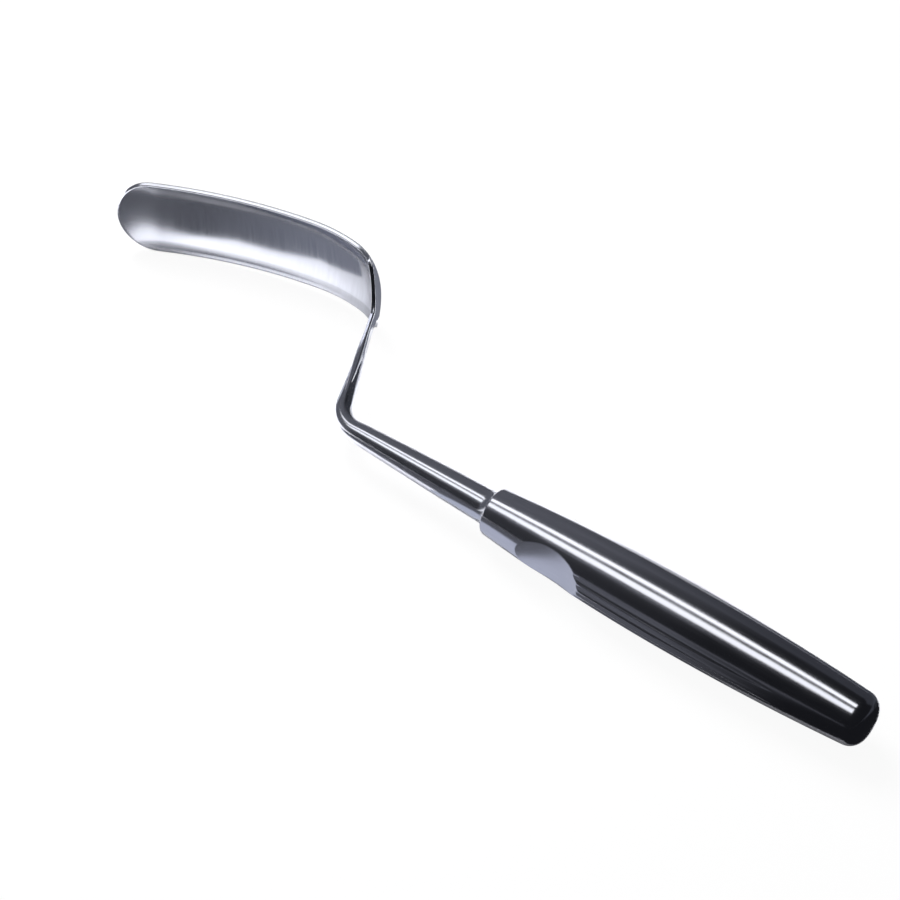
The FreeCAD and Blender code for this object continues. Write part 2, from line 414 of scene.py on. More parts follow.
@dataclass
class Grip:
    """The turned barrel, with a scoop and four flutes machined into each flat side.

    The flutes' pitch is in degrees round the barrel. The cut finish sets in so many times faster
    than the surface sinks, in millimetres.
    """

    length: float = 124.5
    front_radius: float = 7.4
    belly_radius: float = 10.3
    belly_at: float = 60.0
    butt_radius: float = 7.65
    front_rounding: float = 1.1
    butt_rounding: float = 4.5
    butt_dome: float = 0.7
    scoop_start: float = 14.0
    scoop_end: float = 37.0
    scoop_depth: float = 3.0
    flutes_per_side: int = 4
    flute_pitch: float = 14.5
    flute_cutter_radius: float = 2.0
    flute_front_depth: float = 0.58
    flute_belly_depth: float = 0.46
    flute_runout: float = 101.0
    cut_onset: float = 20.0
    columns: int = 288
    column_crowding: float = 0.25
    face_rings: int = 6
    rounding_rings: int = 12
    butt_rings: int = 24
    dome_rings: int = 8
    plain_step: float = 0.55
    fine_step: float = 0.25
    finish: SteelFinish = GRIP_STEEL

    def barrel_radius(self, x: float) -> float:
        """Radius of the plain barrel.

        Args:
            x: Distance behind its front face.

        Returns:
            The radius there.
        """
        if x < self.belly_at:
            share = (self.belly_at - x) / self.belly_at
            return self.belly_radius - (self.belly_radius - self.front_radius) * share**2
        share = (x - self.belly_at) / (self.length - self.belly_at)
        return self.belly_radius - (self.belly_radius - self.butt_radius) * share**2

    def barrel_slope(self, x: float) -> float:
        """Change of the plain barrel's radius along its axis.

        Args:
            x: Distance behind its front face.

        Returns:
            The slope there.
        """
        if x < self.belly_at:
            return 2 * (self.belly_radius - self.front_radius) * (self.belly_at - x) / self.belly_at**2
        behind = self.length - self.belly_at
        return -2 * (self.belly_radius - self.butt_radius) * (x - self.belly_at) / behind**2

    def rounding_centre(self, x: float, rounding: float) -> tuple[float, float, float]:
        """Where a rounding's centre is if it leaves the barrel at a place.

        Args:
            x: Place along the axis where the rounding starts.
            rounding: Its radius.

        Returns:
            The centre's place and radius, and the angle of the barrel's normal from the axis.
        """
        normal = math.atan2(1.0, -self.barrel_slope(x))
        return x - rounding * math.cos(normal), self.barrel_radius(x) - rounding * math.sin(normal), normal

    def profile(self) -> list[tuple[float, float]]:
        """Outline of the barrel from the middle of its face to the crown of its butt.

        Returns:
            Pairs of place along the axis and radius.
        """
        first = self.front_rounding
        for _ in range(TRIALS):
            centre_x, centre_r, normal = self.rounding_centre(first, self.front_rounding)
            first += self.front_rounding - centre_x
        outline = [(0.0, centre_r * index / self.face_rings) for index in range(self.face_rings)]
        front_centre = (centre_x, centre_r)
        outline += arc_points(front_centre, self.front_rounding, math.pi, normal, self.rounding_rings)

        dome_radius = (self.butt_radius**2 + self.butt_dome**2) / (2 * self.butt_dome)
        dome_centre = self.length + self.butt_dome - dome_radius
        low, high = self.length - 2 * self.butt_rounding, self.length
        for _ in range(TRIALS):
            last = (low + high) / 2
            end_x, end_r, end_normal = self.rounding_centre(last, self.butt_rounding)
            if math.hypot(end_x - dome_centre, end_r) < dome_radius - self.butt_rounding:
                low = last
            else:
                high = last

        # Rings stand closer together where the scoop and the flutes' ends are cut
        fine_from, fine_to = self.scoop_start - 2, self.scoop_end + 3
        last_gap = 0.6
        x = first
        while x < last - last_gap:
            fine = fine_from < x < fine_to
            x += self.fine_step if fine else self.plain_step
            outline.append((x, self.barrel_radius(x)))
        dome_normal = math.atan2(end_r, end_x - dome_centre)
        outline += arc_points((end_x, end_r), self.butt_rounding, end_normal, dome_normal, self.butt_rings)
        outline += arc_points((dome_centre, 0.0), dome_radius, dome_normal, 0.0, self.dome_rings)[1:]
        return outline

    def barrel(self) -> bpy.types.Object:
        """Turn the outline round the axis, with more columns where the flutes are.

        Returns:
            The plain barrel, closed at both ends.
        """
        outline = self.profile()
        angles = []
        for index in range(self.columns):
            turn = 2 * math.pi * index / self.columns
            angles.append(turn - self.column_crowding * math.sin(2 * turn))
        vertices = [(x, r * math.cos(a), r * math.sin(a)) for x, r in outline for a in angles]
        return new_object("steel_grip", vertices, tube_faces(len(outline), self.columns))

    def scoop_circle(self) -> tuple[float, float, float]:
        """Place the round cutter that lies across the grip at the scoop.

        Returns:
            Its middle, along the axis and out from it, and its radius.
        """
        start = np.array([self.scoop_start, self.barrel_radius(self.scoop_start)])
        end = np.array([self.scoop_end, self.barrel_radius(self.scoop_end)])
        middle = (start + end) / 2
        chord = end - start
        length = float(np.hypot(*chord))
        sag = self.scoop_depth - (self.barrel_radius(float(middle[0])) - float(middle[1]))
        radius = ((length / 2) ** 2 + sag**2) / (2 * sag)
        outward = np.array([-chord[1], chord[0]]) / length
        centre = middle + outward * (radius - sag)
        return float(centre[0]), float(centre[1]), radius

    def flute_arc(self) -> tuple[float, float, float]:
        """Fit the shallow arc that the bottoms of the flutes follow.

        Returns:
            Its middle, along the axis and out from it, and its radius.
        """
        depths = (
            (self.scoop_end, self.flute_front_depth),
            ((self.scoop_end + self.flute_runout) / 2, self.flute_belly_depth),
            (self.flute_runout, 0.0),
        )
        (ax, ay), (bx, by), (cx, cy) = [(x, self.barrel_radius(x) - depth) for x, depth in depths]
        twice = 2 * (ax * (by - cy) + bx * (cy - ay) + cx * (ay - by))
        a2, b2, c2 = ax**2 + ay**2, bx**2 + by**2, cx**2 + cy**2
        x = (a2 * (by - cy) + b2 * (cy - ay) + c2 * (ay - by)) / twice
        y = (a2 * (cx - bx) + b2 * (ax - cx) + c2 * (bx - ax)) / twice
        return x, y, math.hypot(ax - x, ay - y)

    def machining(self) -> tuple[bpy.types.NodeTree, dict[str, float]]:
        """Geometry Nodes that sink the surface to the scoops' and flutes' cutters.

        Returns:
            The tree, and a value for each of its named inputs.
        """
        scoop_x, scoop_y, scoop_radius = self.scoop_circle()
        arc_x, arc_y, arc_radius = self.flute_arc()
        sizes = {
            "Scoop Middle X": scoop_x,
            "Scoop Middle Y": scoop_y,
            "Scoop Radius": scoop_radius,
            "Flute Count": float(self.flutes_per_side),
            "Flute Pitch": math.radians(self.flute_pitch),
            "Flute Cutter Radius": self.flute_cutter_radius,
            "Flute Arc X": arc_x,
            "Flute Arc Y": arc_y,
            "Flute Arc Radius": arc_radius,
            "Flute Start": (self.scoop_start + self.scoop_end) / 2,
        }
        tree = bpy.data.node_groups.new("machined_grip", "GeometryNodeTree")
        tree.interface.new_socket("Geometry", in_out="INPUT", socket_type="NodeSocketGeometry")
        for name in sizes:
            tree.interface.new_socket(name, in_out="INPUT", socket_type="NodeSocketFloat")
        tree.interface.new_socket("Steel", in_out="INPUT", socket_type="NodeSocketMaterial")
        tree.interface.new_socket("Geometry", in_out="OUTPUT", socket_type="NodeSocketGeometry")
        graph = Graph(tree)
        given = graph.add("NodeGroupInput")
        size = {name: graph.value(given, name) for name in sizes}
        place = graph.value(graph.add("GeometryNodeInputPosition"))
        parts = graph.add("ShaderNodeSeparateXYZ", {}, {0: place})
        x, y, z = (graph.value(parts, name) for name in "XYZ")
        radius = graph.root(y * y + z * z)
        around = graph.math("ARCTAN2", z, graph.math("ABSOLUTE", y))
        far = 1000.0
        least_cosine = 0.05
        least_radius = 0.0001

        # The scoop's cutter, counted as far out where it doesn't reach
        off_scoop = x - size["Scoop Middle X"]
        under = size["Scoop Radius"] * size["Scoop Radius"] - off_scoop * off_scoop
        floor = size["Scoop Middle Y"] - graph.root(under)
        scooped = floor / graph.most(graph.math("COSINE", around), least_cosine) + (under < 0.0) * far

        # The cutter of the nearest flute, counted in the same way
        half_count = size["Flute Count"] * 0.5
        number = graph.math("FLOOR", around / size["Flute Pitch"] + half_count)
        number = graph.least(graph.most(number, 0.0), size["Flute Count"] - 1.0)
        aside = around - (number - half_count + 0.5) * size["Flute Pitch"]
        off_arc = x - size["Flute Arc X"]
        reach = size["Flute Arc Radius"] + size["Flute Cutter Radius"]
        away = size["Flute Arc Y"] + graph.root(reach * reach - off_arc * off_arc)
        across = away * graph.math("SINE", aside)
        inside = size["Flute Cutter Radius"] * size["Flute Cutter Radius"] - across * across
        fluted = away * graph.math("COSINE", aside) - graph.root(inside)
        fluted = fluted + (inside < 0.0) * far + (x < size["Flute Start"]) * far

        # The surface sinks to whichever cutter goes deepest
        sunk = graph.least(radius, graph.least(scooped, fluted))
        cut = graph.within((radius - sunk) * self.cut_onset, 0.0, 1.0)
        share = sunk / graph.most(radius, least_radius)
        moved = graph.add("ShaderNodeCombineXYZ", {}, {"X": x, "Y": y * share, "Z": z * share})
        stored = graph.add(
            "GeometryNodeStoreNamedAttribute",
            {"data_type": "FLOAT", "domain": "POINT"},
            {"Geometry": given.outputs["Geometry"], "Name": "cut", "Value": cut},
        )
        sunken = graph.add(
            "GeometryNodeSetPosition", {}, {"Geometry": stored.outputs[0], "Position": moved.outputs[0]}
        )
        real = graph.add("GeometryNodeRealizeInstances", {}, {"Geometry": sunken.outputs[0]})
        dressed = graph.add(
            "GeometryNodeSetMaterial", {}, {"Geometry": real.outputs[0], "Material": given.outputs["Steel"]}
        )
        graph.add("NodeGroupOutput", {}, {"Geometry": dressed.outputs[0]})
        return tree, sizes

    def build(self) -> bpy.types.Object:
        """Turn the barrel, machine it and give it its steel.

        Returns:
            The grip as a plain mesh, in millimetres in the profile.
        """
        thing = self.barrel()
        steel = self.finish.material()
        thing.data.materials.append(steel)
        tree, sizes = self.machining()
        modifier = thing.modifiers.new("machining", "NODES")
        modifier.node_group = tree
        for item in tree.interface.items_tree:
            if item.in_out == "INPUT" and item.name in sizes:
                modifier[item.identifier] = sizes[item.name]
            elif item.in_out == "INPUT" and item.name == "Steel":
                modifier[item.identifier] = steel
        solid = thing.evaluated_get(bpy.context.evaluated_depsgraph_get())
        mesh = bpy.data.meshes.new_from_object(solid)
        thing.modifiers.remove(modifier)
        thing.data = mesh
        mesh.set_sharp_from_angle(angle=SHARP_ANGLE)
        return thing


@dataclass
class Forging:
    """Blade, neck and shank: closed sections carried along one bent line.

    The rim is a ground edge that leans outwards, and the lower margin is a flat ground strip that
    starts at a distance from the blade's middle.
    """

    shank_length: float = 58.4
    shank_root_radius: float = 5.25
    shank_end_radius: float = 2.9
    shank_swell: float = 0.22
    shank_flare: float = 0.9
    shank_flare_length: float = 3.0
    elbow_lead: float = 3.0
    elbow_easing: float = 9.0
    elbow_turn: float = 63.0
    elbow_bend_radius: float = 11.0
    neck_length: float = 45.0
    neck_end_width: float = 4.6
    neck_flattened_share: float = 0.8
    heel_radius: float = 22.0
    heel_turn: float = 55.0
    crook_radius: float = 55.0
    crook_length: float = 17.0
    blade_radius: float = 185.0
    blade_length: float = 69.0
    heel_width: float = 28.2
    tip_width: float = 29.1
    thickness: float = 1.5
    trough_depth: float = 3.6
    trough_run_in: float = 18.0
    shoulder_length: float = 13.0
    tip_length: float = 12.6
    bend_blending: float = 2.5
    margin_from: float = 10.5
    margin_edge: float = 0.3
    rim_corner: float = 0.5
    rim_lean: float = 31.0
    edge_angle: float = 7.4
    rod_past_neck: float = 2.0
    rod_fade: float = 8.0
    rim_points: int = 6
    sheet_points: int = 60
    tip_rings: int = 40
    finish: SteelFinish = BLADE_STEEL
    marks: dict[str, float] = field(default_factory=dict)

    def stretches(self) -> list[tuple[float, float]]:
        """Lay out the stretches of the line, from the grip's face to the tip.

        Returns:
            The length and the curvature of each.
        """
        setback = self.elbow_bend_radius * math.tan(math.radians(self.elbow_turn / 2))
        return [
            (self.shank_length - setback, 0.0),
            (math.radians(self.elbow_turn) * self.elbow_bend_radius, -1 / self.elbow_bend_radius),
            (self.neck_length - setback, 0.0),
            (math.radians(self.heel_turn) * self.heel_radius, 1 / self.heel_radius),
            (self.crook_length, 1 / self.crook_radius),
            (self.blade_length, 1 / self.blade_radius),
        ]

    def line(self) -> tuple[np.ndarray, np.ndarray, np.ndarray]:
        """Follow the line in small steps, with each change of bend blended over a short way.

        Returns:
            Runs from the grip's face, places in the profile, and headings in radians.
        """
        step = 0.05
        overrun = 2.0
        total = sum(length for length, _ in self.stretches())
        runs = np.arange(0.0, total + overrun, step)
        bends = np.zeros_like(runs)
        start = 0.0
        names = ("shank", "elbow", "neck", "heel", "crook", "blade")
        for name, (length, bend) in zip(names, self.stretches()):
            bends[(runs >= start) & (runs < start + length)] = bend
            start += length
            self.marks[name] = start
        bends[runs >= start] = 1 / self.blade_radius
        window = np.ones(int(self.bend_blending / step) | 1)
        padded = np.pad(bends, len(window) // 2, mode="edge")
        bends = np.convolve(padded, window / window.sum(), mode="valid")
        headings = math.pi + np.concatenate([[0.0], np.cumsum((bends[1:] + bends[:-1]) / 2 * step)])
        middle = (headings[1:] + headings[:-1]) / 2
        x = np.concatenate([[0.0], np.cumsum(np.cos(middle) * step)])
        y = np.concatenate([[0.0], np.cumsum(np.sin(middle) * step)])
        return runs, np.column_stack([x, y]), headings

    def rings(self) -> list[tuple[float, float]]:
        """Where sections stand along the line.

        Returns:
            Pairs of run, and angle round the tip's ellipse, which is 0 before the tip.
        """
        flare_end, near_bend, near_shoulder, near_heel = 5.0, 3.0, 5.0, 2.0
        tip_start = self.marks["blade"] - self.tip_length
        stops = (
            0.0,
            flare_end,
            self.marks["shank"] - near_bend,
            self.marks["elbow"] + near_bend,
            self.marks["neck"] - near_shoulder,
            self.marks["heel"] + near_heel,
            tip_start,
        )
        spacings = (0.2, 0.9, 0.4, 0.6, 0.25, 0.6)
        places = []
        for low, high, spacing in zip(stops, stops[1:], spacings):
            count = max(1, round((high - low) / spacing))
            places.extend((low + (high - low) * index / count, 0.0) for index in range(count))
        reach = self.tip_length - self.thickness / 2
        for index in range(self.tip_rings + 1):
            angle = math.pi / 2 * index / self.tip_rings
            places.append((tip_start + reach * math.sin(angle), angle))
        return places

    def loop(self) -> list[tuple[float, float, float, float]]:
        """Points round a section.

        Returns:
            For each point, its share across the flat, the cosine and sine of its place on the
            rounded edge, and its angle round an oval section.
        """
        level = 1.0 - self.rim_corner
        corner = []
        for index in range(self.rim_points):
            across = level * index / self.rim_points
            corner.append((1.0, across))
        for index in range(self.rim_points):
            turn = math.pi / 2 * index / self.rim_points
            rounded = (level + self.rim_corner * math.cos(turn), level + self.rim_corner * math.sin(turn))
            corner.append(rounded)
        edge_angle = math.radians(self.edge_angle)
        steps = len(corner)
        upper = [(1.0, c, s, edge_angle * index / steps) for index, (c, s) in enumerate(corner)]
        for index in range(self.sheet_points + 1):
            share = index / self.sheet_points
            upper.append((1.0 - 2 * share, 0.0, 1.0, edge_angle + (math.pi - 2 * edge_angle) * share))

        # The sheet's first and last points stand where the rounded edges end
        upper[steps] = (1.0, level, 1.0, edge_angle)
        upper[-1] = (-1.0, -level, 1.0, math.pi - edge_angle)
        for index in range(steps - 1, 0, -1):
            c, s = corner[index]
            upper.append((-1.0, -c, s, math.pi - edge_angle * index / steps))
        lower = [(-g, -c, -s, angle + math.pi) for g, c, s, angle in upper]
        return upper + lower

    def shank_radius(self, run: float) -> float:
        """Radius of the round shank, with its slight swell and the flare at the grip.

        Args:
            run: Distance along the line from the grip's face.

        Returns:
            The radius there.
        """
        share = run / self.shank_length
        radius = self.shank_root_radius + (self.shank_end_radius - self.shank_root_radius) * share
        radius += self.shank_swell * 4 * share * (1 - share)
        flare = max(1 - run / self.shank_flare_length, 0.0)
        return radius + self.shank_flare * flare**2

    def rod_radius(self, run: float) -> float:
        """Radius of the shank and of the elbow that it runs into."""
        share = smooth_step((run - self.marks["shank"] + self.elbow_lead) / self.elbow_easing)
        return self.shank_radius(run) + (self.shank_end_radius - self.shank_radius(run)) * share

    def blade_width(self, run: float) -> float:
        """Width of the blade and its shoulder, before the tip rounds it off.

        Args:
            run: Distance past the end of the neck.

        Returns:
            The width there.
        """
        total = self.marks["blade"] - self.marks["neck"]
        shoulder = smooth_step(run / self.shoulder_length)
        full = self.heel_width + (self.tip_width - self.heel_width) * max(0.0, run) / total
        return self.neck_end_width + (full - self.neck_end_width) * shoulder

    def section_sizes(self, run: float) -> tuple[float, float, float, float]:
        """Sizes of the section at a place on the line.

        Args:
            run: Distance along the line from the grip's face.

        Returns:
            Width, thickness, flatness from 0 where it is round to 1, and depth of the trough.
        """
        mark = self.marks
        if run <= mark["elbow"]:
            size = 2 * self.rod_radius(run)
            return size, size, 0.0, 0.0
        start = 2 * self.shank_end_radius
        straight = mark["neck"] - mark["elbow"]
        share = smooth_step((run - mark["elbow"]) / straight)
        flattened = min((run - mark["elbow"]) / (straight * self.neck_flattened_share), 1.0)
        past = run - mark["neck"]
        thickness = start + (self.thickness - start) * flattened
        width = start + (self.neck_end_width - start) * share + self.blade_width(past) - self.neck_end_width
        trough = self.trough_depth * smooth_step(past / self.trough_run_in)
        return width, thickness, smooth_step(flattened), trough

    def lean_and_half(self, run: float, tip_angle: float) -> tuple[float, float]:
        """How a section's edge goes on from the one before.

        Args:
            run: Where on the line the section stands.
            tip_angle: Its angle round the tip's ellipse, which is 0 before the tip.

        Returns:
            How far the edge turns off the line, in radians, and half the width of the flat part.
        """
        width, thickness, flatness, _ = self.section_sizes(run)
        half = (width - thickness) / 2
        if tip_angle > 0.0:
            reach = self.tip_length - self.thickness / 2
            lean = math.atan2(half * math.sin(tip_angle), reach * math.cos(tip_angle))
            return lean, half * math.cos(tip_angle)
        step = 0.05
        ahead = self.section_sizes(run + step)
        behind = self.section_sizes(max(run - step, 0.0))
        rise = (ahead[0] - ahead[1] - behind[0] + behind[1]) / 2
        return -math.atan2(rise, 2 * step) * flatness, half

    def section(self, loop: np.ndarray, run: float, tip_angle: float) -> tuple[np.ndarray, ...]:
        """Shape one section.

        Args:
            loop: Points round a section, one to a row.
            run: Where on the line the section stands.
            tip_angle: Its angle round the tip's ellipse, which is 0 before the tip.

        Returns:
            How far each point stands ahead along the line, out from the line, and across.
        """
        width, thickness, flatness, trough = self.section_sizes(run)
        lean, half = self.lean_and_half(run, tip_angle)
        share, cosine, sine, angle = loop.T
        edge = thickness / 2
        across = share * half

        # The trough ends at the lower margin, which is carried on flat
        curved = np.maximum(across, -self.margin_from)
        slope = np.arctan(8 * trough * curved / self.tip_width**2)
        slope = np.where(np.abs(share) == 1.0, math.radians(self.rim_lean) * flatness * share, slope)
        flat_z = across + edge * (cosine * np.cos(slope) * math.cos(lean) + sine * np.sin(slope))
        flat_n = edge * (sine * np.cos(slope) - cosine * np.sin(slope))
        ahead = np.abs(cosine) * edge * math.sin(lean) * flatness
        round_z = width / 2 * np.cos(angle)
        round_n = thickness / 2 * np.sin(angle)
        z = flat_z * flatness + round_z * (1 - flatness)
        n = flat_n * flatness + round_n * (1 - flatness)
        bent = curved**2 + 2 * curved * (across - curved)
        n = n + 4 * trough * (half**2 + 2 * half * edge - bent) / self.tip_width**2
        return ahead, n, z

    def build(self) -> bpy.types.Object:
        """Carry the sections along the line, close both ends and give the skin its steel.

        Returns:
            The forging, in millimetres in the profile.
        """
        runs, places, headings = self.line()
        loop = np.array(self.loop())
        rings = self.rings()
        vertices = []
        for run, tip_angle in rings:
            ahead, n, z = self.section(loop, run, tip_angle)
            heading = float(np.interp(run, runs, headings))
            x = float(np.interp(run, runs, places[:, 0]))
            y = float(np.interp(run, runs, places[:, 1]))
            along = np.array([math.cos(heading), math.sin(heading)])
            outward = np.array([math.sin(heading), -math.cos(heading)])
            flat = np.array([x, y]) + np.outer(ahead, along) + np.outer(n, outward)
            vertices.extend((float(p[0]), float(p[1]), float(q)) for p, q in zip(flat, z))
        count = len(loop)
        faces = tube_faces(len(rings), count)
        vertices.append((0.0, 0.0, 0.0))
        for column in range(count):
            faces.append((len(vertices) - 1, (column + 1) % count, column))
        thing = new_object("steel_blade_and_shank", vertices, faces)
        thing.data.set_sharp_from_angle(angle=SHARP_ANGLE)
        self.mark_finishes(thing.data, float(np.interp(self.marks["neck"], runs, places[:, 1])))
        thing.data.materials.append(self.finish.material())
        return thing

    def mark_finishes(self, mesh: bpy.types.Mesh, neck_end: float) -> None:
        """Write down for the steel where the ground margin is, and where the forging is round.

        Args:
            mesh: The forging's skin, in millimetres in the profile.
            neck_end: How far to the side the neck ends.
        """
        margin = mesh.attributes.new("cut", "FLOAT", "POINT")
        rod = mesh.attributes.new("rod", "FLOAT", "POINT")
        for vertex in mesh.vertices:
            past = (-vertex.co.z - self.margin_from) / self.margin_edge
            margin.data[vertex.index].value = min(max(past, 0.0), 1.0)
            before = neck_end + self.rod_past_neck - vertex.co.y
            rod.data[vertex.index].value = smooth_step(before / self.rod_fade)


@dataclass
class Instrument:
    """The whole retractor, laid where the CAD lies."""

    grip: Grip = field(default_factory=Grip)
    forging: Forging = field(default_factory=Forging)
    laying: Laying = field(default_factory=Laying)

    def move(self, pieces: list[bpy.types.Object]) -> Vector:
        """Turn the pieces as they lie, and put their box where the CAD's box is.

        A box that is larger than the CAD's is drawn in to it, which takes up some microns.

        Args:
            pieces: Objects whose meshes are still in millimetres in the profile.

        Returns:
            Where the profile's origin went, in metres.
        """
        turn = (self.laying.turn() * MM).to_4x4()
        corners = []
        for piece in pieces:
            piece.data.transform(turn)
            count = len(piece.data.vertices)
            flat = np.empty(count * 3)
            piece.data.vertices.foreach_get("co", flat)
            places = flat.reshape(count, 3)
            corners.extend([places.min(axis=0), places.max(axis=0)])
        low, high = np.min(corners, axis=0), np.max(corners, axis=0)
        cad_low, cad_high = (np.array(corner) for corner in cad_box)
        fit = np.minimum(1.0, (cad_high - cad_low) / (high - low))
        shift = (cad_low + cad_high) / 2 - fit * (low + high) / 2
        shift[2] = cad_low[2] - fit[2] * low[2]
        for piece in pieces:
            piece.data.transform(Matrix.Translation(Vector(shift)) @ Matrix.Diagonal((*fit, 1.0)))
        return Vector(shift)

    def build(self) -> Vector:
        """Make both pieces, lay them down and tie them to the frame.

        Returns:
            Where the profile's origin went, in metres.
        """
        handle = self.grip.build()
        blade = self.forging.build()
        origin = self.move([handle, blade])
        for piece, node, slot in (
            (handle, "fluted_grip", "grip_steel"),
            (blade, "blade_and_shank", "blade_steel"),
        ):
            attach(piece, "root")
            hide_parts(node)
            LOG.info("%s: %d faces", piece.name, len(piece.data.polygons))
        return origin


@dataclass(frozen=True)
class SoftBox:
    """A lamp overhead: where it hangs, how large and how bright its face is."""

    name: str
    place: tuple[float, float, float]
    size: tuple[float, float]
    radiance: float
    mirrored: bool = True

    def hang(self) -> None:
        """Hang the lamp with its face towards the middle of the table, or straight down."""
        data = bpy.data.lights.new(self.name, "AREA")
        data.shape = "RECTANGLE"
        data.size, data.size_y = self.size
        data.energy = self.radiance * math.pi * data.size * data.size_y
        thing = put_in_scene(self.name, data)
        thing.location = self.place
        if not self.mirrored:
            thing.rotation_euler = Vector(self.place).to_track_quat("Z", "Y").to_euler()
            thing.visible_glossy = False


@dataclass(frozen=True)
class PaintedReflection:
    """A glowing sheet on the table that only the steel mirrors: a painted reflection of the floor, dark
    where it stands in for the floor's shade and shadow, pale where it stands in for lit floor.

    Its glow has one level at the butt's end and one at the blade's end, and changes between two
    places along the table. Its height is in millimetres, and its places and corners are in metres.
    """

    name: str
    butt_glow: float
    blade_glow: float
    outline: tuple[tuple[float, float], ...]
    height: float = 0.2
    fade: tuple[float, float] = ROOM_FADE


# Painted light: a pale glowing patch before the grip's front that stands in for lit floor in the steel's
# reflection
POCKET_PAINTED_LIGHT = PaintedReflection(
    "pocket", 0.62, 0.62, ((0.0, -0.03), (0.0, -0.08), (0.06, -0.08), (0.06, -0.03)), height=0.1
)
# Painted shade: a dark glowing sheet round the handle and the butt that stands in for the floor's shade
# beside them in the steel's reflection, darkest towards the butt
HANDLE_PAINTED_SHADE = PaintedReflection(
    "handle",
    0.012,
    0.12,
    (
        (-0.055, -0.036),
        (0.002, -0.038),
        (0.010, -0.058),
        (0.022, -0.060),
        (0.034, -0.042),
        (0.041, -0.0365),
        (0.054, -0.0365),
        (0.062, -0.033),
        (0.148, -0.033),
        (0.1515, -0.023),
        (0.153, 0.03),
        (0.4, 0.3),
        (2.0, 1.0),
        (2.0, -2.0),
        (-1.0, -2.0),
        (-0.095, -0.12),
    ),
    fade=(0.13, 0.07),
)
# Painted shadow: a dark glowing strip before the blade's foot that stands in for the blade's shadow on the
# floor as its hollow mirrors it, lighter towards the heel
BLADE_PAINTED_SHADOW = PaintedReflection(
    "blade",
    0.26,
    0.12,
    (
        (-0.2, -0.043),
        (-0.131, -0.0045),
        (-0.118, 0.0035),
        (-0.108, 0.007),
        (-0.092, 0.0148),
        (-0.084, 0.022),
        (-0.086, 0.028),
        (-0.110, 0.0225),
        (-0.131, 0.0125),
        (-0.2, -0.02),
    ),
    fade=(-0.085, -0.14),
)
# Painted reflection: a dim glowing patch on the far side of the neck and heel, seen only in the steel
HEEL_PAINTED_REFLECTION = PaintedReflection(
    "heel",
    0.24,
    0.24,
    (
        (-0.11, 0.06),
        (-0.085, 0.040),
        (-0.058, 0.032),
        (-0.034, 0.030),
        (-0.020, 0.045),
        (-0.025, 0.08),
        (-0.05, 0.12),
        (-0.11, 0.12),
    ),
)
# Painted reflection: a glowing sheet over the far side of the table, dim towards the butt and brighter
# towards the blade, seen only in the steel
FAR_PAINTED_REFLECTION = PaintedReflection(
    "far",
    0.08,
    0.5,
    (
        (0.0, 0.12),
        (0.03, 0.07),
        (0.06, 0.05),
        (0.09, 0.035),
        (0.13, 0.01),
        (2.0, 0.0),
        (2.0, 2.9),
        (0.0, 2.9),
    ),
    fade=(0.09, 0.0),
)


